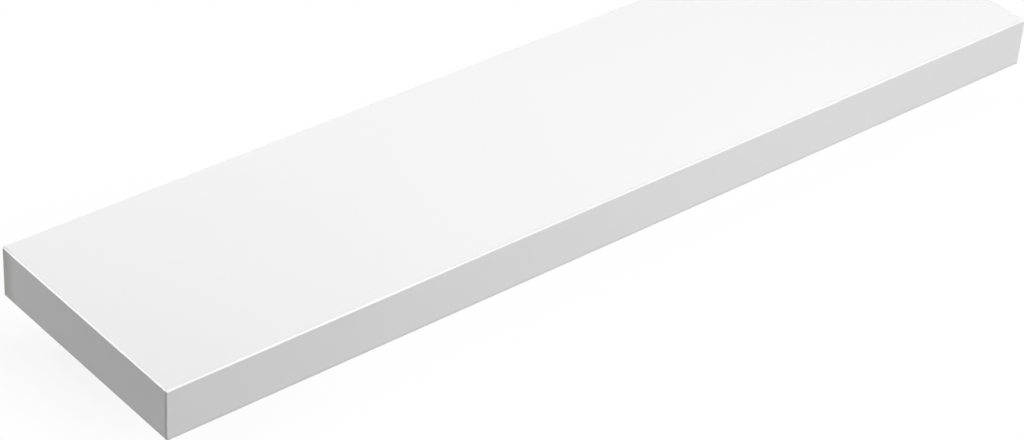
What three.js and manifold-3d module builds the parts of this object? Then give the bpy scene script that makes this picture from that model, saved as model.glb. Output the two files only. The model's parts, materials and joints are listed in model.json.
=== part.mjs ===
// A floating wall shelf: a hollow-core board that slides over a concealed steel bracket.
// Millimetres. +X runs along the shelf, +Y into the wall and +Z up.
// The origin is on the wall, in the middle of the bracket's back face.
import * as THREE from "three";
import { mergeVertices, mergeGeometries } from "three/addons/utils/BufferGeometryUtils.js";
import Module from "manifold-3d";

const wasm = await Module();
wasm.setup();

// The board.
const shelfLength = 1000;
const shelfDepth = 240;
const shelfThickness = 50;
const glueLine = 0.1; // film between glued faces
const cutOverrun = 6; // how far a cutter runs past the face it cuts

// Skins of thin fibreboard, above and below.
const skinThickness = 3;

// Edge bands round the front and both ends.
const bandThickness = 2;
const bandEasing = 1.9; // radius of a band's outer long edges

// Battens between the skins.
const frontBattenWidth = 25;
const endBattenWidth = 25;
const rearBattenWidth = 30;
const rearRecess = 14; // from the wall to the rear batten: the bracket hides in it

// Steel wall bracket: a channel with three welded rods.
const railSheet = 2;
const railLip = 10; // from the wall to the free edge of a lip
const railBend = 3; // outside radius of a bend
const railClearance = 0.4; // to the skins above and below
const railEndClearance = 4; // to each end batten
const rodRadius = 6;
const rodFrontSetback = 68; // from the board's front to a rod's tip
const rodEndSetback = 150; // from the board's end to the axis of an outer rod
const rodTipChamfer = 1.5;
const weldLeg = 3; // height and width of the weld round a rod's root
const slotLength = 14;
const slotWidth = 7;
const slotOffset = 45; // from a rod to the wall-screw slots beside it

// Blocks that take the rods.
const blockWidth = 60;
const boreClearance = 0.4; // round a rod
const boreEndClearance = 8; // past a rod's tip

// Paper honeycomb, opened out to fill the bays between battens and blocks.
const cellPitch = 32; // across the flats, when each cell is regular
const cellWall = 0.6;
const coreClearance = 0.5; // to the battens and blocks round a bay

// Locking screws under the two outer rods, each in a flanged insert.
const lockDepth = 78; // from the wall to a screw's axis
const lockRadius = 3;
const lockLength = 16;
const lockTipGap = 0.3; // to the rod, when tight
const lockChamfer = 0.7;
const lockPointRadius = 1.6;
const lockPointLength = 1.4;
const socketAcrossFlats = 3;
const socketDepth = 3.5;
const insertWall = 1.5;
const insertLength = 13; // with its flange
const insertFlangeRadius = 7;
const insertFlangeThickness = 1.2;
const insertFlangeSink = 0.2; // below the skin's face
const insertBarb = 0.5;
const insertBarbs = 4;
const threadClearance = 0.3;
const fitClearance = 0.3; // of hardware in the board

// Staples across the corners of the frame.
const stapleCrown = 12;
const stapleLeg = 9;
const stapleWire = 1.2;
const stapleClearance = 0.3;

const roundSegments = 24;
const arcSegments = 5;

// Planes that several pieces share.
const halfLength = shelfLength / 2;
const halfThickness = shelfThickness / 2;
const skinInner = halfThickness - skinThickness;
const battenTop = skinInner - glueLine;
const frontBandInner = -(shelfDepth - bandThickness);
const boardFront = frontBandInner + glueLine;
const boardEnd = halfLength - bandThickness - glueLine;
const endBattenInner = boardEnd - endBattenWidth;
const frontBattenRear = boardFront + frontBattenWidth;
const rearBattenRear = -rearRecess;
const rearBattenFront = rearBattenRear - rearBattenWidth;
const rodLength = shelfDepth - rodFrontSetback - railSheet;
const rodTip = -(railSheet + rodLength);
const rodSpacing = halfLength - rodEndSetback;
const rodPlaces = [
  { side: "left", x: -rodSpacing },
  { side: "centre", x: 0 },
  { side: "right", x: rodSpacing },
];
const lockPlaces = rodPlaces.filter((place) => place.side !== "centre");
const insertBarrelRadius = lockRadius + threadClearance + insertWall;
const insertBarbRadius = insertBarrelRadius + insertBarb;
const insertBottom = -(halfThickness - insertFlangeSink);

const finish = {
  whiteLacquer: { color: 0xf1f1f0, roughness: 0.38 },
  whiteEdging: { color: 0xf3f3f2, roughness: 0.34 },
  particleboard: { color: 0xc2a27a, roughness: 0.9 },
  kraftPaper: { color: 0xb08d5f, roughness: 0.95 },
  coatedSteel: { color: 0x8f9294, roughness: 0.5, metalness: 0.2 },
  zincPlate: { color: 0xc6c8ca, roughness: 0.3, metalness: 1 },
  blackOxide: { color: 0x2b2b2d, roughness: 0.42, metalness: 0.9 },
};
for (const key of Object.keys(finish)) {
  finish[key] = new THREE.MeshStandardMaterial(finish[key]);
}

const shelf = new THREE.Group();

function add(name, geometry, material) {
  const mesh = new THREE.Mesh(geometry, material);
  mesh.name = name;
  shelf.add(mesh);
  return mesh;
}

// A box between two values on each axis.
function slab([x0, x1], [y0, y1], [z0, z1]) {
  const box = new THREE.BoxGeometry(x1 - x0, y1 - y0, z1 - z0);
  return box.translate((x0 + x1) / 2, (y0 + y1) / 2, (z0 + z1) / 2);
}

function toSolid(geometry) {
  const bare = geometry.clone();
  bare.deleteAttribute("normal");
  bare.deleteAttribute("uv");
  const merged = mergeVertices(bare);
  return new wasm.Manifold(
    new wasm.Mesh({
      numProp: 3,
      vertProperties: merged.attributes.position.array,
      triVerts: new Uint32Array(merged.index.array),
    }),
  );
}

function toGeometry(solid) {
  const mesh = solid.getMesh();
  const geometry = new THREE.BufferGeometry();
  geometry.setAttribute("position", new THREE.BufferAttribute(mesh.vertProperties, 3));
  geometry.setIndex(new THREE.BufferAttribute(mesh.triVerts, 1));
  geometry.computeVertexNormals();
  return geometry;
}

function cut(geometry, ...cutters) {
  let solid = toSolid(geometry);
  for (const cutter of cutters) {
    solid = solid.subtract(toSolid(cutter));
  }
  return toGeometry(solid);
}

// An outline in a plane, extruded. The three directions say where its x, its y and the extrusion point.
function extruded(outline, depth, xDirection, yDirection, depthDirection) {
  const geometry = new THREE.ExtrudeGeometry(outline, {
    depth,
    bevelEnabled: false,
    curveSegments: arcSegments,
  });
  const turn = new THREE.Matrix4().makeBasis(
    new THREE.Vector3(...xDirection),
    new THREE.Vector3(...yDirection),
    new THREE.Vector3(...depthDirection),
  );
  return geometry.applyMatrix4(turn);
}

// A turned shape about Z, from radius and height pairs that run up the outside.
function turned(profile) {
  const points = profile.map(([radius, height]) => new THREE.Vector2(radius, height));
  return new THREE.LatheGeometry(points, roundSegments).rotateX(Math.PI / 2);
}

// A round cutter along Y, between two depths.
function boreAlongY(radius, x, y0, y1) {
  return new THREE.CylinderGeometry(radius, radius, y1 - y0, roundSegments).translate(x, (y0 + y1) / 2, 0);
}

// A round cutter along Z, between two heights.
function boreAlongZ(radius, x, y, z0, z1) {
  const cylinder = new THREE.CylinderGeometry(radius, radius, z1 - z0, roundSegments);
  return cylinder.rotateX(Math.PI / 2).translate(x, y, (z0 + z1) / 2);
}

// Staples: one above and one below each corner of the frame, across the joint of two battens.
function stapleOutline(grow) {
  const half = stapleCrown / 2 + grow;
  const inner = stapleCrown / 2 - stapleWire - grow;
  const top = grow;
  const crownUnder = -stapleWire - grow;
  const foot = -stapleLeg - grow;
  return new THREE.Shape([
    new THREE.Vector2(-half, top),
    new THREE.Vector2(-half, foot),
    new THREE.Vector2(-inner, foot),
    new THREE.Vector2(-inner, crownUnder),
    new THREE.Vector2(inner, crownUnder),
    new THREE.Vector2(inner, foot),
    new THREE.Vector2(half, foot),
    new THREE.Vector2(half, top),
  ]);
}

function staple({ x, y, up }, grow = 0) {
  const width = stapleWire + 2 * grow;
  const wire = extruded(stapleOutline(grow), width, [up, 0, 0], [0, 0, up], [0, -1, 0]);
  const height = up * (battenTop - glueLine);
  return wire.translate(x, y + width / 2, height);
}

const frontJointY = (boardFront + frontBattenRear) / 2;
const rearJointY = (rearBattenFront + rearBattenRear) / 2;
const jointX = endBattenInner - glueLine / 2;
const staplePlaces = [];
for (const [side, x] of [["left", -jointX], ["right", jointX]]) {
  for (const [end, y] of [["front", frontJointY], ["rear", rearJointY]]) {
    for (const [face, up] of [["top", 1], ["bottom", -1]]) {
      staplePlaces.push({ name: `staple_${end}_${side}_${face}`, x, y, up });
    }
  }
}
const stapleCutters = staplePlaces.map((place) => staple(place, stapleClearance));

function addStaples() {
  for (const place of staplePlaces) {
    add(place.name, staple(place), finish.zincPlate);
  }
}

// What an insert needs: a bore for its barrel, up to the rod's axis, and a seat for its flange.
function insertCutters({ x }) {
  const below = -halfThickness - cutOverrun;
  const seatTop = insertBottom + insertFlangeThickness + fitClearance;
  return [
    boreAlongZ(insertBarbRadius + fitClearance, x, -lockDepth, below, 0),
    boreAlongZ(insertFlangeRadius + fitClearance, x, -lockDepth, below, seatTop),
  ];
}

// Skins, glued over the battens. The lower one takes the inserts.
function addSkins() {
  const across = [-boardEnd, boardEnd];
  const deep = [boardFront, 0];
  add("top_panel", slab(across, deep, [skinInner, halfThickness]), finish.whiteLacquer);
  const lower = slab(across, deep, [-halfThickness, -skinInner]);
  add("bottom_panel", cut(lower, ...lockPlaces.flatMap(insertCutters)), finish.whiteLacquer);
}

// Battens: the front and rear ones butt against the end ones.
function addBattens() {
  const tall = [-battenTop, battenTop];
  const between = [-(endBattenInner - glueLine), endBattenInner - glueLine];
  const front = slab(between, [boardFront, frontBattenRear], tall);
  add("front_batten", cut(front, ...stapleCutters), finish.particleboard);

  const boreRadius = rodRadius + boreClearance;
  const bores = rodPlaces.map(({ x }) =>
    boreAlongY(boreRadius, x, rearBattenFront - cutOverrun, rearBattenRear + cutOverrun),
  );
  const rear = slab(between, [rearBattenFront, rearBattenRear], tall);
  add("rear_batten", cut(rear, ...bores, ...stapleCutters), finish.particleboard);

  const left = slab([-boardEnd, -endBattenInner], [boardFront, 0], tall);
  const right = slab([endBattenInner, boardEnd], [boardFront, 0], tall);
  add("left_end_batten", cut(left, ...stapleCutters), finish.particleboard);
  add("right_end_batten", cut(right, ...stapleCutters), finish.particleboard);
}

// Blocks from the front batten to the rear one, bored for the rods and, from below, for the inserts.
function addBlocks() {
  const front = frontBattenRear + glueLine;
  const rear = rearBattenFront - glueLine;
  for (const place of rodPlaces) {
    const { side, x } = place;
    const block = slab([x - blockWidth / 2, x + blockWidth / 2], [front, rear], [-battenTop, battenTop]);
    const bore = boreAlongY(rodRadius + boreClearance, x, rodTip - boreEndClearance, rear + cutOverrun);
    const inserts = lockPlaces.includes(place) ? insertCutters(place) : [];
    add(`rod_block_${side}`, cut(block, bore, ...inserts), finish.particleboard);
  }
}

// One bay of paper honeycomb: a slab less a lattice of six-sided cells. The lattice is opened out to
// a whole number of rows and half columns, so that each edge of the bay cuts the cells at mid-wall.
function honeycomb([x0, x1], [y0, y1]) {
  const regularRow = (cellPitch * Math.sqrt(3)) / 2;
  const cellRadius = (cellPitch - cellWall) / Math.sqrt(3);
  const columns = Math.max(1, Math.round((x1 - x0) / cellPitch - 1 / 2));
  const rows = Math.max(1, Math.round((y1 - y0) / regularRow));
  const columnPitch = (x1 - x0) / (columns + 1 / 2);
  const rowPitch = (y1 - y0) / rows;
  const cells = [];
  for (let row = 0; row <= rows; row += 1) {
    const stagger = row % 2 === 0 ? 0 : columnPitch / 2;
    for (let column = -1; column <= columns + 1; column += 1) {
      const cell = new THREE.CylinderGeometry(cellRadius, cellRadius, 2 * battenTop + cutOverrun, 6);
      cell.rotateX(Math.PI / 2).scale(columnPitch / cellPitch, rowPitch / regularRow, 1);
      cells.push(cell.translate(x0 + (column - 1 / 4) * columnPitch + stagger, y0 + row * rowPitch, 0));
    }
  }
  return cut(slab([x0, x1], [y0, y1], [-battenTop, battenTop]), mergeGeometries(cells));
}

function addCore() {
  const deep = [frontBattenRear + coreClearance, rearBattenFront - coreClearance];
  const blockSide = rodSpacing + blockWidth / 2;
  const outer = [blockSide + coreClearance, endBattenInner - coreClearance];
  const inner = [blockWidth / 2 + coreClearance, rodSpacing - blockWidth / 2 - coreClearance];
  add("honeycomb_left_end", honeycomb([-outer[1], -outer[0]], deep), finish.kraftPaper);
  add("honeycomb_left", honeycomb([-inner[1], -inner[0]], deep), finish.kraftPaper);
  add("honeycomb_right", honeycomb(inner, deep), finish.kraftPaper);
  add("honeycomb_right_end", honeycomb(outer, deep), finish.kraftPaper);
}

// Section of an edge band: the glued face at x = 0, the eased edges outside.
function bandOutline() {
  const centre = bandThickness - bandEasing;
  const outline = new THREE.Shape();
  outline.moveTo(0, -halfThickness);
  outline.lineTo(centre, -halfThickness);
  outline.absarc(centre, -halfThickness + bandEasing, bandEasing, -Math.PI / 2, 0);
  outline.absarc(centre, halfThickness - bandEasing, bandEasing, 0, Math.PI / 2);
  outline.lineTo(0, halfThickness);
  return outline;
}

// The front band covers the front ends of the two end bands.
function addBands() {
  const front = extruded(bandOutline(), shelfLength, [0, -1, 0], [0, 0, 1], [-1, 0, 0]);
  add("front_band", front.translate(halfLength, frontBandInner, 0), finish.whiteEdging);
  const run = -boardFront;
  const inner = halfLength - bandThickness;
  const right = extruded(bandOutline(), run, [1, 0, 0], [0, 0, 1], [0, -1, 0]);
  add("right_end_band", right.translate(inner, 0, 0), finish.whiteEdging);
  const left = extruded(bandOutline(), run, [-1, 0, 0], [0, 0, 1], [0, 1, 0]);
  add("left_end_band", left.translate(-inner, boardFront, 0), finish.whiteEdging);
}

// Flanged inserts, pushed up through the lower skin, and the screws in them.
function addLocks() {
  const boreRadius = lockRadius + threadClearance;
  const barrelBottom = insertBottom + insertFlangeThickness;
  const barrelTop = insertBottom + insertLength;
  const barbPitch = (barrelTop - barrelBottom) / insertBarbs;
  const barrel = [];
  for (let barb = 0; barb < insertBarbs; barb += 1) {
    barrel.push([insertBarrelRadius, barrelBottom + barb * barbPitch]);
    barrel.push([insertBarbRadius, barrelBottom + barb * barbPitch + insertBarb]);
  }
  const insertProfile = [
    [boreRadius, insertBottom],
    [insertFlangeRadius, insertBottom],
    [insertFlangeRadius, barrelBottom],
    ...barrel,
    [insertBarrelRadius, barrelTop],
    [boreRadius, barrelTop],
    [boreRadius, insertBottom],
  ];
  const tip = -(rodRadius + lockTipGap);
  const end = tip - lockLength;
  const screwProfile = [
    [0, end],
    [lockRadius - lockChamfer, end],
    [lockRadius, end + lockChamfer],
    [lockRadius, tip - lockPointLength],
    [lockPointRadius, tip],
    [0, tip],
  ];
  const socketRadius = socketAcrossFlats / Math.sqrt(3);
  for (const { side, x } of lockPlaces) {
    const insert = turned(insertProfile).translate(x, -lockDepth, 0);
    add(`lock_insert_${side}`, insert, finish.zincPlate);
    const screw = turned(screwProfile).translate(x, -lockDepth, 0);
    const socket = new THREE.CylinderGeometry(socketRadius, socketRadius, 2 * socketDepth, 6);
    socket.rotateX(Math.PI / 2).translate(x, -lockDepth, end);
    add(`lock_screw_${side}`, cut(screw, socket), finish.blackOxide);
  }
}

// Channel with its web on the wall and its lips towards the shelf, slotted for wall screws beside each rod.
function railOutline() {
  const half = skinInner - railClearance;
  const inside = railBend - railSheet;
  const low = -half + railBend;
  const high = half - railBend;
  const outline = new THREE.Shape();
  outline.moveTo(railBend, -half);
  outline.lineTo(railLip, -half);
  outline.lineTo(railLip, -half + railSheet);
  outline.absarc(railBend, low, inside, -Math.PI / 2, -Math.PI, true);
  outline.absarc(railBend, high, inside, Math.PI, Math.PI / 2, true);
  outline.lineTo(railLip, half - railSheet);
  outline.lineTo(railLip, half);
  outline.absarc(railBend, high, railBend, Math.PI / 2, Math.PI);
  outline.absarc(railBend, low, railBend, Math.PI, (3 * Math.PI) / 2);
  return outline;
}

function slotCutter(x) {
  const radius = slotWidth / 2;
  const reach = slotLength / 2 - radius;
  const outline = new THREE.Shape();
  outline.absarc(reach, 0, radius, -Math.PI / 2, Math.PI / 2);
  outline.absarc(-reach, 0, radius, Math.PI / 2, (3 * Math.PI) / 2);
  const cutter = extruded(outline, railSheet + 2 * cutOverrun, [1, 0, 0], [0, 0, 1], [0, -1, 0]);
  return cutter.translate(x, cutOverrun, 0);
}

function addBracket() {
  const railLength = 2 * (endBattenInner - railEndClearance);
  const rail = extruded(railOutline(), railLength, [0, -1, 0], [0, 0, 1], [-1, 0, 0]);
  const slots = rodPlaces.flatMap(({ x }) => [slotCutter(x - slotOffset), slotCutter(x + slotOffset)]);
  add("wall_rail", cut(rail.translate(railLength / 2, 0, 0), ...slots), finish.coatedSteel);

  const weld = [];
  for (let step = 0; step <= arcSegments; step += 1) {
    const angle = (step / arcSegments) * (Math.PI / 2);
    weld.push([
      rodRadius + weldLeg * (1 - Math.sin(angle)),
      weldLeg * (1 - Math.cos(angle)),
    ]);
  }
  const rodProfile = [
    [0, 0],
    ...weld,
    [rodRadius, rodLength - rodTipChamfer],
    [rodRadius - rodTipChamfer, rodLength],
    [0, rodLength],
  ];
  for (const { side, x } of rodPlaces) {
    const rod = add(`support_rod_${side}`, turned(rodProfile), finish.coatedSteel);
    rod.rotation.x = Math.PI / 2;
    rod.position.set(x, -railSheet, 0);
  }
}

addSkins();
addBattens();
addBlocks();
addCore();
addStaples();
addBands();
addLocks();
addBracket();

export default shelf;
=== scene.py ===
import json
import math

import bmesh
import bpy
from mathutils import Matrix, Vector


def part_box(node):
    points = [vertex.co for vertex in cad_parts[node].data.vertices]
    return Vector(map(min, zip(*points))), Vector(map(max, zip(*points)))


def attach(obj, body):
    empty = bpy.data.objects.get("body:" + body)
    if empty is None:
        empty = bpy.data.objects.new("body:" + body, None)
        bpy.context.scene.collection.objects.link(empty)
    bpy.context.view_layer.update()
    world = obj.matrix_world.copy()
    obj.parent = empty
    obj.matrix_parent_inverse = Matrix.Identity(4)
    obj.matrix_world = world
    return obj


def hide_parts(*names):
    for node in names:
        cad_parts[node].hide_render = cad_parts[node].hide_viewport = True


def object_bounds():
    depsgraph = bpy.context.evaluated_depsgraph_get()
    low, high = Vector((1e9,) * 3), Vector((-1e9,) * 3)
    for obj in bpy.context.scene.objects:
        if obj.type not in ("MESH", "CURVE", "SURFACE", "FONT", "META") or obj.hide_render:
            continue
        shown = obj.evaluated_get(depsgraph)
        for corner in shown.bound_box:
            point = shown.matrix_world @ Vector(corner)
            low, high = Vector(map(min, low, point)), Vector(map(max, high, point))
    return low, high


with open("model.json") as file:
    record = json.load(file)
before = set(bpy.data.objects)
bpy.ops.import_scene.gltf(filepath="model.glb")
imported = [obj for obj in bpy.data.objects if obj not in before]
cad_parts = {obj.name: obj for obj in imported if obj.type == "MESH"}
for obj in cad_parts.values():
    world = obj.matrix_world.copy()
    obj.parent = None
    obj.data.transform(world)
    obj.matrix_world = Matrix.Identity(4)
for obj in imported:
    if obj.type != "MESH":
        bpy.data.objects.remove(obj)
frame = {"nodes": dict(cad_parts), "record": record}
cadLow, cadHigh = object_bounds()

mm = 0.001
mergeDistance = 0.001 * mm
planeDistance = 0.1 * mergeDistance
sameWay = 0.999  # cosine above which two directions count as one
record = frame["record"]
bodyOf = {node: body for body, nodes in record["behaviour"]["bodies"].items() for node in nodes}


# Camera: a long lens, in front of the board, above it and to its left.

cameraLook = {
    "aim": (-101.5 * mm, -187.5 * mm, 0),
    "distance": 2624.5 * mm,
    "azimuth": -42.194,
    "elevation": 34.652,
    "twist": 4.081,
    "lens": 105.923,
    "sensorWidth": 36,
    "farthest": 100,
}


def makeCamera():
    data = bpy.data.cameras.new("photoCamera")
    data.lens = cameraLook["lens"]
    data.sensor_width = cameraLook["sensorWidth"]
    data.clip_end = cameraLook["farthest"]
    camera = bpy.data.objects.new("photoCamera", data)
    bpy.context.scene.collection.objects.link(camera)
    azimuth = math.radians(cameraLook["azimuth"])
    elevation = math.radians(cameraLook["elevation"])
    level = math.cos(elevation)
    back = Vector((math.sin(azimuth) * level, -math.cos(azimuth) * level, math.sin(elevation)))
    turn = (-back).to_track_quat("-Z", "Y").to_matrix().to_4x4()
    twist = Matrix.Rotation(math.radians(cameraLook["twist"]), 4, "Z")
    place = Matrix.Translation(Vector(cameraLook["aim"]) + back * cameraLook["distance"])
    camera.matrix_world = place @ turn @ twist
    bpy.context.scene.camera = camera


makeCamera()
print("camera placed")


# Shader maths: a Signal wraps a socket, and sums on it add Math nodes.

class Signal:
    def __init__(self, surface, socket):
        self.surface = surface
        self.socket = socket

    def maths(self, operation, first, second):
        return self.surface.node("ShaderNodeMath", {"operation": operation}, {0: first, 1: second})

    def __add__(self, other):
        return self.maths("ADD", self, other)

    def __radd__(self, other):
        return self.maths("ADD", other, self)

    def __sub__(self, other):
        return self.maths("SUBTRACT", self, other)

    def __rsub__(self, other):
        return self.maths("SUBTRACT", other, self)

    def __mul__(self, other):
        return self.maths("MULTIPLY", self, other)

    def __rmul__(self, other):
        return self.maths("MULTIPLY", other, self)


class Surface:
    def __init__(self, owner):
        owner.use_nodes = True
        self.owner = owner
        self.tree = owner.node_tree
        self.tree.nodes.clear()

    def node(self, kind, settings=None, sockets=None, output=0):
        made = self.tree.nodes.new(kind)
        for name, value in (settings or {}).items():
            if name == "stops":
                self.setStops(made.color_ramp, value)
            else:
                setattr(made, name, value)
        for name, value in (sockets or {}).items():
            if isinstance(value, Signal):
                self.tree.links.new(value.socket, made.inputs[name])
            else:
                made.inputs[name].default_value = value
        return Signal(self, made.outputs[output]) if made.outputs else made

    def setStops(self, ramp, stops):
        while len(ramp.elements) < len(stops):
            ramp.elements.new(1)
        for element, (position, colour) in zip(ramp.elements, stops):
            element.position = position
            element.color = (*colour, 1)

    def place(self, stretch=(1, 1, 1)):
        source = self.node("ShaderNodeTexCoord", output="Object")
        return self.node("ShaderNodeMapping", sockets={"Vector": source, "Scale": stretch})

    def noise(self, place, size, detail, roughness=0.5):
        sockets = {"Vector": place, "Scale": 1 / size, "Detail": detail, "Roughness": roughness}
        return self.node("ShaderNodeTexNoise", sockets=sockets)

    def ramp(self, amount, stops):
        return self.node("ShaderNodeValToRGB", {"stops": stops}, {0: amount})

    def between(self, amount, low, high):
        sockets = {"Value": amount, "From Min": low, "From Max": high}
        return self.node("ShaderNodeMapRange", {"interpolation_type": "SMOOTHSTEP"}, sockets)

    def larger(self, first, second):
        return self.node("ShaderNodeMath", {"operation": "MAXIMUM"}, {0: first, 1: second})

    def mix(self, amount, first, second):
        sockets = {0: amount, 6: first, 7: second}  # the colour sockets of a Mix node
        return self.node("ShaderNodeMix", {"data_type": "RGBA"}, sockets, output=2)

    def principled(self, look, height, **sockets):
        bump = self.node("ShaderNodeBump", sockets={"Distance": look["bump"], "Height": height})
        named = {"colour": "Base Color", "roughness": "Roughness", "metallic": "Metallic"}
        values = {"Normal": bump, "IOR": 1.5, "Specular IOR Level": look.get("specular", 0.5)}
        values.update({named[name]: value for name, value in sockets.items()})
        shader = self.node("ShaderNodeBsdfPrincipled", sockets=values)
        self.node("ShaderNodeOutputMaterial", sockets={"Surface": shader})
        return self.owner


def surface(name):
    return Surface(bpy.data.materials.new(name))


def opaque(colour):
    return (*colour, 1)


# White lacquer on the skins: matt, with orange peel too fine to see from a step away.

lacquerLook = {
    "colour": (0.872, 0.871, 0.872),
    "cloudColour": (0.888, 0.887, 0.888),
    "cloudSize": 180 * mm,
    "peelSize": 1.4 * mm,
    "waveSize": 22 * mm,
    "smearStretch": 0.3,
    "peelShare": 0.25,
    "roughness": 0.68,
    "cloudRoughness": 0.05,
    "smearRoughness": 0.08,
    "specular": 0.3,
    "bump": 0.02 * mm,
}


def makeLacquer():
    look = lacquerLook
    made = surface("whiteLacquer")
    place = made.place()
    cloud = made.noise(place, look["cloudSize"], 3)
    peel = made.noise(place, look["peelSize"], 2)
    wave = made.noise(place, look["waveSize"], 1)
    smear = made.noise(made.place((look["smearStretch"], 1, 1)), look["waveSize"], 4, 0.6)
    colour = made.mix(cloud, opaque(look["colour"]), opaque(look["cloudColour"]))
    clouded = look["roughness"] + look["cloudRoughness"] * (cloud - 0.5)
    roughness = clouded + look["smearRoughness"] * (smear - 0.5)
    height = look["peelShare"] * peel + wave
    return made.principled(look, height, colour=colour, roughness=roughness)


# Raw edge of the thin fibreboard skins: pressed brown fibre in fine layers.

fibreLook = {
    "dark": (0.22, 0.125, 0.06),
    "pale": (0.46, 0.31, 0.175),
    "fibreSize": 0.35 * mm,
    "fibreStretch": 0.12,
    "patchSize": 9 * mm,
    "patchShare": 0.25,
    "toneRange": (0.32, 0.68),
    "roughness": 0.82,
    "fibreRoughness": 0.12,
    "bump": 0.08 * mm,
}


def makeFibreboard():
    look = fibreLook
    made = surface("fibreboardEdge")
    flat = (look["fibreStretch"], look["fibreStretch"], 1)
    layers = made.noise(made.place(flat), look["fibreSize"], 3, 0.65)
    patch = made.noise(made.place(), look["patchSize"], 3)
    blend = (1 - look["patchShare"]) * layers + look["patchShare"] * patch
    tone = made.between(blend, *look["toneRange"])
    colour = made.mix(tone, opaque(look["dark"]), opaque(look["pale"]))
    roughness = look["roughness"] + look["fibreRoughness"] * layers
    return made.principled(look, layers, colour=colour, roughness=roughness)


# White edging strip: drawn plastic with faint lines along its length from the trimmer.

edgingLook = {
    "colour": (0.885, 0.886, 0.884),
    "cloudColour": (0.9, 0.9, 0.898),
    "lineSize": 0.5 * mm,
    "lineStretch": 0.004,
    "cloudSize": 90 * mm,
    "easedColour": (0.885, 0.885, 0.883),
    # painted shade: darker colours towards the rear edge and along the lowest few millimetres
    "paintedRearShadeColour": (0.64, 0.635, 0.62),
    "paintedRearShadeReach": 20 * mm,
    "paintedLowShadeColour": (0.75, 0.745, 0.735),
    "lowestPaintedShade": -24.0 * mm,
    "highestPaintedShade": -20.8 * mm,
    "roughness": 0.31,
    "easedRoughness": 0.2,
    "lineRoughness": 0.07,
    "cloudRoughness": 0.04,
    "paintedShadeRoughness": 0.1,
    "bump": 0.012 * mm,
}


def makeEdging(name, along):
    look = edgingLook
    made = surface(name)
    stretch = [1, 1, 1]
    stretch[along] = look["lineStretch"]
    lines = made.noise(made.place(stretch), look["lineSize"], 3, 0.6)
    cloud = made.noise(made.place(), look["cloudSize"], 3)
    peel = made.noise(made.place(), lacquerLook["peelSize"], 2)
    eased = made.node("ShaderNodeAttribute", {"attribute_name": "wear"}, output="Fac")
    clean = made.mix(cloud, opaque(look["colour"]), opaque(look["cloudColour"]))
    buffed = made.mix(eased, clean, opaque(look["easedColour"]))
    depth = made.node("ShaderNodeSeparateXYZ", sockets={0: made.place()}, output="Y")
    level = made.node("ShaderNodeSeparateXYZ", sockets={0: made.place()}, output="Z")
    # Painted shade: the colour darkens within a given reach of the rear edge and along the bottom, and
    # roughness rises there with it.
    paintedRearShade = made.between(depth, -look["paintedRearShadeReach"], 0) * (0.7 + 0.6 * cloud)
    paintedLowShade = 1 - made.between(level, look["lowestPaintedShade"], look["highestPaintedShade"])
    rearShaded = made.mix(paintedRearShade, buffed, opaque(look["paintedRearShadeColour"]))
    colour = made.mix(paintedLowShade, rearShaded, opaque(look["paintedLowShadeColour"]))
    lined = look["roughness"] + look["lineRoughness"] * (lines - 0.5)
    clouded = lined + look["cloudRoughness"] * (cloud - 0.5)
    shadeRoughened = clouded + look["paintedShadeRoughness"] * made.larger(paintedRearShade, paintedLowShade)
    roughness = shadeRoughened + (look["easedRoughness"] - look["roughness"]) * eased
    height = 0.7 * lines + 0.5 * peel
    return made.principled(look, height, colour=colour, roughness=roughness)


# Cut end of the front strip, scraped flush: greyer than the faces, and scored from top to bottom.

cutLook = {
    "colour": (0.69, 0.685, 0.675),
    "scoreColour": (0.75, 0.745, 0.735),
    "scoreSize": 0.35 * mm,
    "scoreStretch": 0.05,
    "speckSize": 0.175 * mm,
    "speckShare": 0.3,
    "roughness": 0.5,
    "scoreRoughness": 0.2,
    "bump": 0.02 * mm,
}


def makeCutEnd():
    look = cutLook
    made = surface("cutEdging")
    score = made.noise(made.place((1, 1, look["scoreStretch"])), look["scoreSize"], 4, 0.65)
    speck = made.noise(made.place(), look["speckSize"], 2, 0.7)
    tone = (1 - look["speckShare"]) * score + look["speckShare"] * speck
    colour = made.mix(tone, opaque(look["colour"]), opaque(look["scoreColour"]))
    height = score + look["speckShare"] * speck
    roughness = look["roughness"] + look["scoreRoughness"] * score
    return made.principled(look, height, colour=colour, roughness=roughness)


# Glue line where two edging strips meet: a fine groove that has taken up dust.

seamLook = {
    "dark": (0.66, 0.655, 0.64),
    "pale": (0.8, 0.795, 0.78),
    "dustSize": 0.8 * mm,
    "roughness": 0.75,
    "dustRoughness": 0.15,
    "bump": 0.05 * mm,
}


def makeSeam():
    look = seamLook
    made = surface("glueLine")
    dust = made.noise(made.place(), look["dustSize"], 4, 0.7)
    colour = made.mix(dust, opaque(look["dark"]), opaque(look["pale"]))
    roughness = look["roughness"] + look["dustRoughness"] * dust
    return made.principled(look, dust, colour=colour, roughness=roughness)


# Raw particleboard: chips of several tints lying two ways, with dark gaps between them.

chipLook = {
    "tints": (
        (0.0, (0.21, 0.115, 0.05)),
        (0.28, (0.42, 0.26, 0.125)),
        (0.62, (0.6, 0.42, 0.235)),
        (1.0, (0.74, 0.57, 0.36)),
    ),
    "gapColour": (0.1, 0.055, 0.025),
    "gapReach": 0.09,
    "chipSize": 1.5 * mm,
    "lyingStretch": (0.28, 0.6, 1),
    "crossedStretch": (0.7, 0.28, 0.8),
    "laySize": 5 * mm,
    "layRange": (0.47, 0.53),
    "dustSize": 0.3 * mm,
    "patchSize": 40 * mm,
    "roughness": 0.8,
    "dustRoughness": 0.15,
    "bump": 0.25 * mm,
}


def makeChips(made, stretch):
    sockets = {"Vector": made.place(stretch), "Scale": 1 / chipLook["chipSize"], "Randomness": 1.0}
    tint = made.node("ShaderNodeTexVoronoi", sockets=sockets, output="Color")
    red = made.node("ShaderNodeSeparateColor", sockets={0: tint})
    edge = made.node("ShaderNodeTexVoronoi", {"feature": "DISTANCE_TO_EDGE"}, sockets)
    return red, edge


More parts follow.
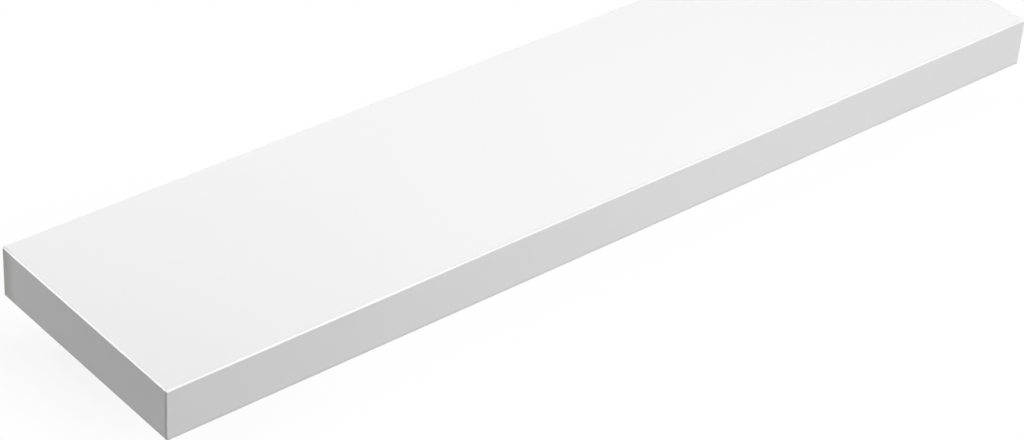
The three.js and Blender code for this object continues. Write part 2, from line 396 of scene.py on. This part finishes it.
def makeParticleboard():
    look = chipLook
    made = surface("particleboard")
    lying, lyingEdge = makeChips(made, look["lyingStretch"])
    crossed, crossedEdge = makeChips(made, look["crossedStretch"])
    lay = made.between(made.noise(made.place(), look["laySize"], 2), *look["layRange"])
    dust = made.noise(made.place(), look["dustSize"], 3, 0.7)
    patch = made.noise(made.place(), look["patchSize"], 3)
    chip = lying * (1 - lay) + crossed * lay
    edge = made.between(lyingEdge * (1 - lay) + crossedEdge * lay, 0.0, look["gapReach"])
    tone = 0.72 * chip + 0.2 * dust + 0.16 * (patch - 0.5) + 0.06
    tinted = made.ramp(tone, look["tints"])
    colour = made.mix(0.35 + 0.65 * edge, opaque(look["gapColour"]), tinted)
    height = 0.5 * chip * edge + 0.3 * edge + 0.2 * dust
    roughness = look["roughness"] + look["dustRoughness"] * dust
    return made.principled(look, height, colour=colour, roughness=roughness)


# Brown kraft paper of the honeycomb core.

paperLook = {
    "dark": (0.33, 0.2, 0.085),
    "pale": (0.5, 0.33, 0.16),
    "fibreSize": 0.7 * mm,
    "fibreStretch": 0.3,
    "patchSize": 14 * mm,
    "patchShare": 0.3,
    "toneRange": (0.3, 0.7),
    "roughness": 0.88,
    "patchRoughness": 0.08,
    "bump": 0.05 * mm,
}


def makePaper():
    look = paperLook
    made = surface("kraftPaper")
    upright = (look["fibreStretch"], look["fibreStretch"], 1)
    fibre = made.noise(made.place(upright), look["fibreSize"], 4, 0.7)
    patch = made.noise(made.place(), look["patchSize"], 2)
    blend = (1 - look["patchShare"]) * fibre + look["patchShare"] * patch
    tone = made.between(blend, *look["toneRange"])
    colour = made.mix(tone, opaque(look["dark"]), opaque(look["pale"]))
    roughness = look["roughness"] + look["patchRoughness"] * patch
    return made.principled(look, fibre, colour=colour, roughness=roughness)


# Grey powder coat on the bracket: scuffed in handling, chipped to bright steel on worn edges,
# and rubbed along the rods.

coatLook = {
    "colour": (0.235, 0.243, 0.252),
    "speckColour": (0.325, 0.335, 0.345),
    "scuffColour": (0.44, 0.45, 0.46),
    "steel": (0.56, 0.57, 0.58),
    "peelSize": 0.9 * mm,
    "speckSize": 0.35 * mm,
    "cloudSize": 60 * mm,
    "chipSize": 2.2 * mm,
    "chipStart": 0.55,
    "streakSize": 0.45 * mm,
    "streakStretch": 0.012,
    "streakRange": (0.6, 0.66),
    "reachSize": 9 * mm,
    "reachStretch": 0.3,
    "scuffSize": 5 * mm,
    "scuffStretch": 0.15,
    "scuffRange": (0.55, 0.75),
    "roughness": 0.46,
    "steelRoughness": 0.32,
    "cloudRoughness": 0.12,
    "scuffRoughness": 0.15,
    "bump": 0.12 * mm,
}


# Bare patches on the faces that are marked as worn edges.
def wornMask(made, size, start):
    worn = made.node("ShaderNodeAttribute", {"attribute_name": "wear"}, output="Fac")
    return worn * made.between(made.noise(made.place(), size, 4, 0.7), start, start + 0.05)


def makeCoat(name, rubbed):
    look = coatLook
    made = surface(name)
    peel = made.noise(made.place(), look["peelSize"], 2)
    speck = made.noise(made.place(), look["speckSize"], 2, 0.7)
    cloud = made.noise(made.place(), look["cloudSize"], 3)
    bare = wornMask(made, look["chipSize"], look["chipStart"])
    if rubbed:
        streak = made.noise(made.place((1, look["streakStretch"], 1)), look["streakSize"], 3, 0.6)
        reach = made.noise(made.place((1, look["reachStretch"], 1)), look["reachSize"], 3)
        streaks = made.between(streak * (0.6 + 0.8 * reach), *look["streakRange"])
        bare = bare + streaks * (1 - bare)
    handling = made.noise(made.place((look["scuffStretch"], 1, 1)), look["scuffSize"], 6, 0.72)
    scuff = made.between(handling, *look["scuffRange"])
    paint = made.mix(0.6 * speck + 0.4 * cloud, opaque(look["colour"]), opaque(look["speckColour"]))
    scuffed = made.mix(0.6 * scuff, paint, opaque(look["scuffColour"]))
    colour = made.mix(bare, scuffed, opaque(look["steel"]))
    clouded = look["roughness"] + look["cloudRoughness"] * (cloud - 0.5)
    coated = clouded + look["scuffRoughness"] * scuff
    roughness = coated + (look["steelRoughness"] - look["roughness"]) * bare
    height = (0.8 * peel + 0.2 * speck) * (1 - bare) - 0.4 * bare
    return made.principled(look, height, colour=colour, roughness=roughness, metallic=bare)


# Zinc plating on the inserts and staples: bright, faintly blue and straw in clouds.

zincLook = {
    "blue": (0.6, 0.64, 0.68),
    "straw": (0.7, 0.69, 0.64),
    "cloudSize": 3 * mm,
    "cloudRange": (0.35, 0.65),
    "grainSize": 0.25 * mm,
    "roughness": 0.27,
    "cloudRoughness": 0.12,
    "grainRoughness": 0.06,
    "bump": 0.015 * mm,
}


def makeZinc():
    look = zincLook
    made = surface("zincPlate")
    cloud = made.noise(made.place(), look["cloudSize"], 3)
    grain = made.noise(made.place(), look["grainSize"], 3, 0.7)
    tint = made.between(cloud, *look["cloudRange"])
    colour = made.mix(tint, opaque(look["blue"]), opaque(look["straw"]))
    roughness = look["roughness"] + look["cloudRoughness"] * cloud + look["grainRoughness"] * grain
    return made.principled(look, grain, colour=colour, roughness=roughness, metallic=1.0)


# Black oxide on the set screws, worn through at the rim of the socket.

oxideLook = {
    "black": (0.022, 0.022, 0.024),
    "brown": (0.05, 0.042, 0.036),
    "steel": (0.5, 0.5, 0.51),
    "grainSize": 0.2 * mm,
    "cloudSize": 1.5 * mm,
    "wornSize": 0.5 * mm,
    "wornStart": 0.45,
    "wornShine": 0.8,
    "roughness": 0.42,
    "grainRoughness": 0.14,
    "wornRoughness": 0.12,
    "metallic": 0.55,
    "bump": 0.012 * mm,
}


def makeOxide():
    look = oxideLook
    made = surface("blackOxide")
    grain = made.noise(made.place(), look["grainSize"], 3, 0.6)
    cloud = made.noise(made.place(), look["cloudSize"], 2)
    bare = wornMask(made, look["wornSize"], look["wornStart"])
    dark = made.mix(cloud, opaque(look["black"]), opaque(look["brown"]))
    colour = made.mix(look["wornShine"] * bare, dark, opaque(look["steel"]))
    roughness = look["roughness"] + look["grainRoughness"] * grain - look["wornRoughness"] * bare
    metallic = look["metallic"] + (1 - look["metallic"]) * bare
    return made.principled(look, grain, colour=colour, roughness=roughness, metallic=metallic)


finishes = {
    "lacquer": makeLacquer(),
    "fibreboard": makeFibreboard(),
    "frontEdging": makeEdging("frontEdging", 0),
    "endEdging": makeEdging("endEdging", 1),
    "cutEnd": makeCutEnd(),
    "seam": makeSeam(),
    "particleboard": makeParticleboard(),
    "paper": makePaper(),
    "coat": makeCoat("powderCoat", False),
    "rubbedCoat": makeCoat("rubbedPowderCoat", True),
    "zinc": makeZinc(),
    "oxide": makeOxide(),
}
print("finishes made:", len(finishes))


# Mesh helpers. Faces that the bevels and cuts make are marked with the wear attribute.

def startMesh():
    bm = bmesh.new()
    bm.faces.layers.float.new("wear")
    return bm


def makeBlock(low, high):
    bm = startMesh()
    cube = bmesh.ops.create_cube(bm, size=1)
    bmesh.ops.scale(bm, vec=high - low, verts=cube["verts"])
    bmesh.ops.translate(bm, vec=(low + high) / 2, verts=cube["verts"])
    return bm


def ease(bm, edges, width, segments):
    made = bmesh.ops.bevel(
        bm, geom=edges, offset=width, offset_type="OFFSET", segments=segments,
        profile=0.5, affect="EDGES", material=-1,
    )
    wear = bm.faces.layers.float["wear"]
    for face in made["faces"]:
        face[wear] = 1


# Cuts a closed convex solid with a plane and caps the cut.
def facet(bm, point, outward, materialIndex=0):
    parts = bm.verts[:] + bm.edges[:] + bm.faces[:]
    cut = bmesh.ops.bisect_plane(
        bm, geom=parts, dist=planeDistance, plane_co=point, plane_no=outward, clear_outer=True,
    )
    rim = [item for item in cut["geom_cut"] if isinstance(item, bmesh.types.BMEdge)]
    wear = bm.faces.layers.float["wear"]
    for face in bmesh.ops.holes_fill(bm, edges=rim, sides=0)["faces"]:
        face[wear] = 1
        face.material_index = materialIndex
    bmesh.ops.recalc_face_normals(bm, faces=bm.faces)


# Rounds the convex edge through corner, between the faces that look along first and second.
def roundOff(bm, corner, first, second, radius, steps):
    centre = corner - (first + second) * (radius / (1 + first.dot(second)))
    for step in range(1, steps):
        outward = first.slerp(second, step / steps)
        facet(bm, centre + outward * radius, outward)


# Edges that run along one axis, picked by their midpoint.
def edgesAlong(bm, axis, wanted):
    picked = []
    for edge in bm.edges:
        start, end = (vert.co for vert in edge.verts)
        span = end - start
        if abs(span[axis]) > sameWay * span.length and wanted((start + end) / 2):
            picked.append(edge)
    return picked


def sharpEdges(bm, angle):
    limit = math.radians(angle)
    return [edge for edge in bm.edges if edge.is_manifold and edge.calc_face_angle() > limit]


def openEdges(bm):
    return [edge for edge in bm.edges if edge.is_boundary]


# Turns a profile of radius and height pairs about an axis through foot.
def turned(profile, foot, axis, steps, closed=False):
    bm = startMesh()
    along = Vector(axis)
    out = along.orthogonal().normalized()
    verts = [bm.verts.new(foot + out * radius + along * height) for radius, height in profile]
    ends = verts[1:] + verts[:1] if closed else verts[1:]
    edges = [bm.edges.new(pair) for pair in zip(verts, ends)]
    bmesh.ops.spin(
        bm, geom=verts + edges, cent=foot, axis=along, angle=2 * math.pi, steps=steps, use_merge=True,
    )
    bmesh.ops.remove_doubles(bm, verts=bm.verts, dist=mergeDistance)
    bmesh.ops.recalc_face_normals(bm, faces=bm.faces)
    return bm


# A flat face in X and Y with round or slotted holes. A hole's reach is half its straight part.
def holedFace(bm, width, height, holes, steps):
    corners = ((-1, -1), (1, -1), (1, 1), (-1, 1))
    verts = [bm.verts.new((x * width / 2, y * height / 2, 0)) for x, y in corners]
    edges = [bm.edges.new(pair) for pair in zip(verts, verts[1:] + verts[:1])]
    for hole in holes:
        turn = Matrix.Rotation(math.pi / steps, 4, "Z")
        ring = bmesh.ops.create_circle(bm, segments=steps, radius=hole["radius"], matrix=turn)["verts"]
        for vert in ring:
            vert.co.x += hole["x"] + math.copysign(hole.get("reach", 0), vert.co.x)
            vert.co.y += hole.get("y", 0)
        edges += list(dict.fromkeys(edge for vert in ring for edge in vert.link_edges))
    bmesh.ops.triangle_fill(bm, use_beauty=True, edges=edges)


def thicken(bm, thickness):
    bmesh.ops.recalc_face_normals(bm, faces=bm.faces)
    bmesh.ops.solidify(bm, geom=bm.faces[:], thickness=thickness)
    bmesh.ops.recalc_face_normals(bm, faces=bm.faces)


# Makes the object, which rides on the body of the node that it stands for.
def install(bm, name, node, materials, smoothAngle=40):
    mesh = bpy.data.meshes.new(name)
    bm.to_mesh(mesh)
    bm.free()
    for material in materials:
        mesh.materials.append(material)
    mesh.shade_smooth()
    mesh.set_sharp_from_angle(angle=math.radians(smoothAngle))
    piece = bpy.data.objects.new(name, mesh)
    bpy.context.scene.collection.objects.link(piece)
    flats = piece.modifiers.new("evenFlats", "WEIGHTED_NORMAL")
    flats.keep_sharp = True
    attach(piece, bodyOf[node])
    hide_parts(node)


# Skins: lacquered outside, raw fibreboard on the glued face and on the edge at the wall.

skinLook = {
    "rearEasing": 0.3 * mm,
    "easingSegments": 3,
    "seatRadius": 7.15 * mm,
    "seatSteps": 64,
    "lacquered": 0.6,  # cosine of the steepest tilt that still gets lacquer
}


def finishSkin(bm, outward):
    rear = cadHigh.y
    ease(
        bm,
        edgesAlong(bm, 0, lambda spot: abs(spot.y - rear) < mergeDistance),
        skinLook["rearEasing"],
        skinLook["easingSegments"],
    )
    bm.normal_update()
    for face in bm.faces:
        face.material_index = 0 if face.normal.z * outward > skinLook["lacquered"] else 1


def makeSkins():
    low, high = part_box("top_panel")
    bm = makeBlock(low, high)
    finishSkin(bm, 1)
    install(bm, "topSkin", "top_panel", (finishes["lacquer"], finishes["fibreboard"]))

    low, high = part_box("bottom_panel")
    middle = (low + high) / 2
    size = high - low
    holes = []
    for side in ("left", "right"):
        insertLow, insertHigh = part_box(f"lock_insert_{side}")
        centre = (insertLow + insertHigh) / 2
        holes.append({
            "x": centre.x - middle.x,
            "y": centre.y - middle.y,
            "radius": skinLook["seatRadius"],
        })
    bm = startMesh()
    holedFace(bm, size.x, size.y, holes, skinLook["seatSteps"])
    thicken(bm, size.z)
    lowest = min(vert.co.z for vert in bm.verts)
    bmesh.ops.translate(bm, vec=(middle.x, middle.y, low.z - lowest), verts=bm.verts)
    finishSkin(bm, -1)
    install(bm, "bottomSkin", "bottom_panel", (finishes["lacquer"], finishes["fibreboard"]))


makeSkins()
print("skins made")


# Edge bands: a shallow bevel above, a full round below, and a fine groove where two strips meet.

bandLook = {
    "bevelWidth": 1.9 * mm,
    "bevelDrop": 0.9 * mm,
    "bevelRounding": 0.4 * mm,
    "bevelSteps": (5, 3),
    "bottomRounding": 1.9 * mm,
    "bottomSteps": 10,
    "cornerRounding": 1.3 * mm,
    "rearRounding": 1.0 * mm,
    "cornerSteps": 6,
    "groove": 0.2 * mm,
}


# Trims the long edges of one outer face. Side points out of the face, and reach is how far out
# it lies.
def trimFace(bm, side, reach, low, high):
    look = bandLook
    up = Vector((0, 0, 1))
    face = side * reach
    slope = (side * look["bevelDrop"] + up * look["bevelWidth"]).normalized()
    outer = face + up * (high.z - look["bevelDrop"])
    inner = side * (reach - look["bevelWidth"]) + up * high.z
    outerSteps, innerSteps = look["bevelSteps"]
    facet(bm, outer, slope)
    roundOff(bm, outer, side, slope, look["bevelRounding"], outerSteps)
    roundOff(bm, inner, slope, up, look["bevelRounding"], innerSteps)
    roundOff(bm, face + up * low.z, side, -up, look["bottomRounding"], look["bottomSteps"])


def makeFrontBand():
    look = bandLook
    low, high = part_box("front_band")
    bm = makeBlock(low, high)
    forward = Vector((0, -1, 0))
    trimFace(bm, forward, -low.y, low, high)
    for side, edge in ((-1, low.x), (1, high.x)):
        out = Vector((side, 0, 0))
        trimFace(bm, out, high.x, low, high)
        corner = Vector((edge, low.y, 0))
        roundOff(bm, corner, forward, out, look["cornerRounding"], look["cornerSteps"])
        facet(bm, Vector((edge, high.y - look["groove"], 0)), Vector((side, 1, 0)), 2)
    for face in bm.faces:
        if abs(face.normal.x) > sameWay:
            face.material_index = 1
    materials = (finishes["frontEdging"], finishes["cutEnd"], finishes["seam"])
    install(bm, "frontEdgeBand", "front_band", materials)


def makeEndBand(side):
    look = bandLook
    low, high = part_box(f"{side}_end_band")
    out = Vector((1 if side == "right" else -1, 0, 0))
    edge = high.x if side == "right" else low.x
    bm = makeBlock(low, high)
    trimFace(bm, out, abs(edge), low, high)
    rear = Vector((edge, high.y, 0))
    roundOff(bm, rear, out, Vector((0, 1, 0)), look["rearRounding"], look["cornerSteps"])
    facet(bm, Vector((edge, low.y + look["groove"], 0)), out + Vector((0, -1, 0)), 1)
    install(bm, f"{side}EdgeBand", f"{side}_end_band", (finishes["endEdging"], finishes["seam"]))


makeFrontBand()
makeEndBand("left")
makeEndBand("right")
print("edge bands made")


# Rear batten: sawn particleboard with a bore for each rod.

battenLook = {
    "boreRadius": 6.4 * mm,
    "boreSteps": 64,
    "easing": 0.4 * mm,
    "easingSegments": 2,
    "sharpAngle": 60,
}


def rodCentres():
    centres = []
    for side in ("left", "centre", "right"):
        low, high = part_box(f"support_rod_{side}")
        centres.append((low.x + high.x) / 2)
    return centres


def makeRearBatten():
    look = battenLook
    low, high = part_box("rear_batten")
    middle = (low + high) / 2
    size = high - low
    holes = [{"x": x - middle.x, "radius": look["boreRadius"]} for x in rodCentres()]
    bm = startMesh()
    holedFace(bm, size.x, size.z, holes, look["boreSteps"])
    thicken(bm, size.y)
    bmesh.ops.rotate(bm, cent=(0, 0, 0), matrix=Matrix.Rotation(math.pi / 2, 3, "X"), verts=bm.verts)
    rearmost = max(vert.co.y for vert in bm.verts)
    bmesh.ops.translate(bm, vec=(middle.x, high.y - rearmost, middle.z), verts=bm.verts)
    ease(bm, sharpEdges(bm, look["sharpAngle"]), look["easing"], look["easingSegments"])
    install(bm, "rearCoreBatten", "rear_batten", (finishes["particleboard"],))


makeRearBatten()
print("rear batten made")


# Wall rail: one slotted sheet, bent into a channel.

railLook = {
    "sheet": 2 * mm,
    "bend": 3 * mm,
    "bendSteps": 8,
    "slotLength": 14 * mm,
    "slotWidth": 7 * mm,
    "slotOffset": 45 * mm,
    "slotSteps": 32,
    "easing": 0.22 * mm,
    "easingSegments": 2,
    "sharpAngle": 60,
}


def makeWallRail():
    look = railLook
    low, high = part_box("wall_rail")
    middle = (low + high) / 2
    size = high - low
    web = size.z - 2 * look["bend"]
    reach = (look["slotLength"] - look["slotWidth"]) / 2
    holes = [
        {"x": x + offset - middle.x, "radius": look["slotWidth"] / 2, "reach": reach}
        for x in rodCentres()
        for offset in (-look["slotOffset"], look["slotOffset"])
    ]
    bm = startMesh()
    holedFace(bm, size.x, web, holes, look["slotSteps"])
    for side in (-1, 1):
        fold = edgesAlong(bm, 0, lambda spot: abs(spot.y - side * web / 2) < mergeDistance)
        bend = bmesh.ops.spin(
            bm, geom=fold, cent=(0, side * web / 2, look["bend"]), axis=(1, 0, 0),
            angle=side * math.pi / 2, steps=look["bendSteps"],
        )
        rim = [item for item in bend["geom_last"] if isinstance(item, bmesh.types.BMEdge)]
        lip = bmesh.ops.extrude_edge_only(bm, edges=rim)
        lipVerts = [item for item in lip["geom"] if isinstance(item, bmesh.types.BMVert)]
        bmesh.ops.translate(bm, vec=(0, 0, size.y - look["bend"]), verts=lipVerts)
    bmesh.ops.remove_doubles(bm, verts=bm.verts, dist=mergeDistance)
    bmesh.ops.recalc_face_normals(bm, faces=bm.faces)
    webFace = max(bm.faces, key=lambda face: face.calc_area() * (abs(face.normal.z) > sameWay))
    inward = 1 if webFace.normal.z > 0 else -1  # the sheet thickens to the inside of the channel
    bmesh.ops.solidify(bm, geom=bm.faces[:], thickness=-inward * look["sheet"])
    bmesh.ops.recalc_face_normals(bm, faces=bm.faces)
    bmesh.ops.rotate(bm, cent=(0, 0, 0), matrix=Matrix.Rotation(math.pi / 2, 3, "X"), verts=bm.verts)
    bmesh.ops.translate(bm, vec=(middle.x, high.y, middle.z), verts=bm.verts)
    ease(bm, sharpEdges(bm, look["sharpAngle"]), look["easing"], look["easingSegments"])
    install(bm, "bracketRail", "wall_rail", (finishes["coat"],))


makeWallRail()
print("wall rail made")


# Support rods: bar with a chamfered tip and a rippled weld bead round the root.

rodLook = {
    "radius": 6 * mm,
    "steps": 64,
    "tipChamfer": 1.5 * mm,
    "tipRounding": 0.35 * mm,
    "tipSegments": 3,
    "tipAngle": 30,
    "beadLeg": 3 * mm,
    "beadArc": 7,
    "beadSteps": 160,
    "ripples": 32,
    "rippleDepth": 0.3 * mm,
    "rippleStart": 0.05,
    "beadBury": 0.4 * mm,
}


def makeRod(side):
    look = rodLook
    low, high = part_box(f"support_rod_{side}")
    root = Vector(((low.x + high.x) / 2, high.y, (low.z + high.z) / 2))
    length = high.y - low.y
    chamfer = look["tipChamfer"]
    profile = [
        (0, 0),
        (look["radius"], 0),
        (look["radius"], length - chamfer),
        (look["radius"] - chamfer, length),
        (0, length),
    ]
    bm = turned(profile, root, (0, -1, 0), look["steps"])
    tipEnd = low.y + 2 * chamfer
    tip = [edge for edge in sharpEdges(bm, look["tipAngle"]) if edge.verts[0].co.y < tipEnd]
    ease(bm, tip, look["tipRounding"], look["tipSegments"])
    install(bm, f"supportBar_{side}", f"support_rod_{side}", (finishes["rubbedCoat"],))

    leg = look["beadLeg"]
    inner = look["radius"] - look["beadBury"]
    arc = [
        (look["radius"] + leg * math.cos(turn), leg * math.sin(turn))
        for turn in (math.pi / 2 * step / look["beadArc"] for step in range(look["beadArc"] + 1))
    ]
    bm = turned([(inner, 0), *arc, (inner, leg)], root, (0, -1, 0), look["beadSteps"], closed=True)
    for vert in bm.verts:
        out = Vector((vert.co.x - root.x, 0, vert.co.z - root.z))
        proud = (out.length - look["radius"]) / leg
        if proud > look["rippleStart"]:
            wave = 0.5 + 0.5 * math.cos(look["ripples"] * math.atan2(out.z, out.x))
            vert.co -= out.normalized() * look["rippleDepth"] * proud * wave
    install(bm, f"weldBead_{side}", f"support_rod_{side}", (finishes["coat"],))


for side in ("left", "centre", "right"):
    makeRod(side)
print("rods made")


# Locks: a flanged, barbed insert with a set screw in it, under each outer rod.

lockLook = {
    "steps": 64,
    "boreRadius": 3.3 * mm,
    "flangeRadius": 7 * mm,
    "flangeThickness": 1.2 * mm,
    "flangeEasing": 0.35 * mm,
    "flangeMiddle": 0.3,  # where the easing's middle lies, as a share of it
    "mouth": 0.7 * mm,
    "barrelRadius": 4.8 * mm,
    "barb": 0.5 * mm,
    "barbs": 4,
    "threadPitch": 1 * mm,
    "insertCrest": 3.1 * mm,
    "screwRadius": 3 * mm,
    "screwRoot": 2.55 * mm,
    "screwChamfer": 0.7 * mm,
    "pointRadius": 1.6 * mm,
    "pointLength": 1.4 * mm,
    "socketRadius": 1.73 * mm,
    "socketDepth": 3.5 * mm,
    "socketCone": 0.7 * mm,
    "socketRim": 0.12 * mm,
    "rimSegments": 2,
}


# Radius and height pairs of thread ridges from one height to another.
def ridges(low, high, root, crest, pitch):
    count = int((high - low) / pitch)
    step = (high - low) / count
    points = []
    for turn in range(count):
        points.append((root, low + turn * step))
        points.append((crest, low + (turn + 0.5) * step))
    return points


def makeInsert(side):
    look = lockLook
    low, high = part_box(f"lock_insert_{side}")
    foot = Vector(((low.x + high.x) / 2, (low.y + high.y) / 2, low.z))
    length = high.z - low.z
    flange = look["flangeThickness"]
    radius = look["flangeRadius"]
    rounding = look["flangeEasing"]
    middle = look["flangeMiddle"] * rounding
    pitch = (length - flange) / look["barbs"]
    barrel = []
    for barb in range(look["barbs"]):
        barrel.append((look["barrelRadius"], flange + barb * pitch))
        barrel.append((look["barrelRadius"] + look["barb"], flange + barb * pitch + look["barb"]))
    bore = ridges(look["mouth"], length, look["boreRadius"], look["insertCrest"], look["threadPitch"])
    profile = [
        (look["boreRadius"] + look["mouth"], 0),
        (radius - rounding, 0),
        (radius - middle, middle),
        (radius, rounding),
        (radius, flange),
        *barrel,
        (look["barrelRadius"], length),
        (look["boreRadius"], length),
        *reversed(bore),
    ]
    bm = turned(profile, foot, (0, 0, 1), look["steps"], closed=True)
    install(bm, f"threadedInsert_{side}", f"lock_insert_{side}", (finishes["zinc"],))


def makeLockScrew(side):
    look = lockLook
    low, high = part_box(f"lock_screw_{side}")
    foot = Vector(((low.x + high.x) / 2, (low.y + high.y) / 2, low.z))
    length = high.z - low.z
    radius = look["screwRadius"]
    chamfer = look["screwChamfer"]
    thread = ridges(
        chamfer, length - look["pointLength"], look["screwRoot"], radius, look["threadPitch"],
    )
    profile = [
        (radius - chamfer, 0),
        *thread,
        (look["screwRoot"], length - look["pointLength"]),
        (look["pointRadius"], length),
        (0, length),
    ]
    bm = turned(profile, foot, (0, 0, 1), look["steps"])
    rim = openEdges(bm)
    socket = bmesh.ops.create_circle(
        bm, segments=6, radius=look["socketRadius"], matrix=Matrix.Translation(foot),
    )["verts"]
    mouth = list(dict.fromkeys(edge for vert in socket for edge in vert.link_edges))
    bmesh.ops.triangle_fill(bm, use_beauty=True, edges=rim + mouth)
    deep = bmesh.ops.extrude_edge_only(bm, edges=mouth)["geom"]
    deepVerts = [item for item in deep if isinstance(item, bmesh.types.BMVert)]
    deepEdges = [item for item in deep if isinstance(item, bmesh.types.BMEdge)]
    bmesh.ops.translate(bm, vec=(0, 0, look["socketDepth"]), verts=deepVerts)
    floor = bmesh.ops.edgeloop_fill(bm, edges=deepEdges)
    point = bmesh.ops.poke(bm, faces=floor["faces"])
    bmesh.ops.translate(bm, vec=(0, 0, look["socketCone"]), verts=point["verts"])
    bmesh.ops.recalc_face_normals(bm, faces=bm.faces)
    ease(bm, mouth, look["socketRim"], look["rimSegments"])
    install(bm, f"setScrew_{side}", f"lock_screw_{side}", (finishes["oxide"],))


for side in ("left", "right"):
    makeInsert(side)
    makeLockScrew(side)
print("locks made")


# Pieces whose solids are right as they are take a finish each.

carried = {
    "particleboard": ("front_batten", "left_end_batten", "right_end_batten", "rod_block_"),
    "paper": ("honeycomb_",),
    "zinc": ("staple_",),
}
for finishName, starts in carried.items():
    for node, piece in frame["nodes"].items():
        if node.startswith(starts):
            for materialSlot in piece.material_slots:
                materialSlot.material = finishes[finishName]
print("carried pieces finished")


# Floor and light: the ground lies a little below the board. It shows white but for a soft shade
# under the board, and can be seen through from below.

groundLook = {
    "drop": 45 * mm,
    "halfWidth": 8.0,
    "colour": (0.66, 0.66, 0.66),
    "shownColour": (0.2, 0.2, 0.2),
    "shownGlow": 0.8,
    "shadeCentre": (-393 * mm, -43 * mm, 0),
    "nearRadius": 0.046,
    "farRadius": 0.247,
    "fade": 0.9,
    "whiteRadius": 2.6,
}


# By the camera itself, in a reflection or through glass.
def seenDirectly(made):
    seen = made.node("ShaderNodeLightPath", output="Is Camera Ray")
    for ray in ("Is Glossy Ray", "Is Transmission Ray"):
        seen = made.larger(seen, made.node("ShaderNodeLightPath", output=ray))
    return seen


def makeGround():
    look = groundLook
    bm = bmesh.new()
    bmesh.ops.create_grid(bm, x_segments=1, y_segments=1, size=look["halfWidth"])
    bmesh.ops.translate(bm, vec=(0, 0, cadLow.z - look["drop"]), verts=bm.verts)
    mesh = bpy.data.meshes.new("ground")
    bm.to_mesh(mesh)
    bm.free()
    made = surface("ground")
    # Painted shade: a mask keeps the floor's shadow in full only near shadeCentre and fades it to
    # white beyond farRadius.
    sockets = {0: made.place(), 1: look["shadeCentre"]}
    distance = made.node("ShaderNodeVectorMath", {"operation": "DISTANCE"}, sockets, output="Value")
    faded = look["fade"] * made.between(distance, look["nearRadius"], look["farRadius"])
    far = faded + (1 - faded) * made.between(distance, look["farRadius"], look["whiteRadius"])
    matt = made.node("ShaderNodeBsdfDiffuse", sockets={"Color": opaque(look["colour"])})
    shade = made.node("ShaderNodeBsdfDiffuse", sockets={"Color": opaque(look["shownColour"])})
    glow = made.node("ShaderNodeEmission", sockets={"Strength": look["shownGlow"]})
    white = made.node("ShaderNodeEmission", sockets={"Strength": 1.0})
    near = made.node("ShaderNodeAddShader", sockets={0: shade, 1: glow})
    shown = made.node("ShaderNodeMixShader", sockets={0: far, 1: near, 2: white})
    lit = made.node("ShaderNodeMixShader", sockets={0: seenDirectly(made), 1: matt, 2: shown})
    clear = made.node("ShaderNodeBsdfTransparent")
    below = made.node("ShaderNodeNewGeometry", output="Backfacing")
    shadowRay = made.node("ShaderNodeLightPath", output="Is Shadow Ray")  # for the lamp below
    seeThrough = made.larger(below, shadowRay)
    both = made.node("ShaderNodeMixShader", sockets={0: seeThrough, 1: lit, 2: clear})
    made.node("ShaderNodeOutputMaterial", sockets={"Surface": both})
    mesh.materials.append(made.owner)
    ground = bpy.data.objects.new("ground", mesh)
    bpy.context.scene.collection.objects.link(ground)


worldLook = {
    "colour": (1, 1, 1),
    "strength": 0.05,
}


def makeWorld():
    world = bpy.data.worlds.new("studio")
    bpy.context.scene.world = world
    made = Surface(world)
    colour = opaque(worldLook["colour"])
    strength = worldLook["strength"]
    soft = made.node("ShaderNodeBackground", sockets={"Color": colour, "Strength": strength})
    white = made.node("ShaderNodeBackground", sockets={"Color": colour, "Strength": 1.0})
    both = made.node("ShaderNodeMixShader", sockets={0: seenDirectly(made), 1: soft, 2: white})
    made.node("ShaderNodeOutputWorld", sockets={"Surface": both})


lamps = {
    "over": {"place": (0.2, -0.1, 2.0), "aim": (0.1, -0.13, 0), "size": (1.4, 1.4), "power": 23.0},
    "key": {"place": (0.97, -0.25, 1.3), "aim": (0.3, -0.25, 0), "size": (1.4, 0.9), "power": 4.0,
            "turn": 90},
    "rim": {"place": (-0.8, 0.95, 1.15), "aim": (-0.5, -0.12, 0), "size": (0.65, 0.65), "power": 8.6},
    "front": {"place": (0.4, -1.85, 1.1), "aim": (0.15, -0.15, 0), "size": (1.2, 0.9), "power": 18.2},
    "under": {"place": (0, 0.1, -1.6), "aim": (0, -0.1, 0), "size": (0.8, 0.4), "power": 9.0},
}


def makeLamps():
    for name, look in lamps.items():
        data = bpy.data.lights.new(name, "AREA")
        data.shape = "RECTANGLE"
        data.size, data.size_y = look["size"]
        data.energy = look["power"]
        lamp = bpy.data.objects.new(name, data)
        bpy.context.scene.collection.objects.link(lamp)
        place = Vector(look["place"])
        facing = (Vector(look["aim"]) - place).to_track_quat("-Z", "Y").to_matrix().to_4x4()
        turn = Matrix.Rotation(math.radians(look.get("turn", 0)), 4, "Z")
        lamp.matrix_world = Matrix.Translation(place) @ facing @ turn


makeGround()
makeWorld()
makeLamps()
bpy.context.scene.view_settings.view_transform = "Standard"
print("studio made")
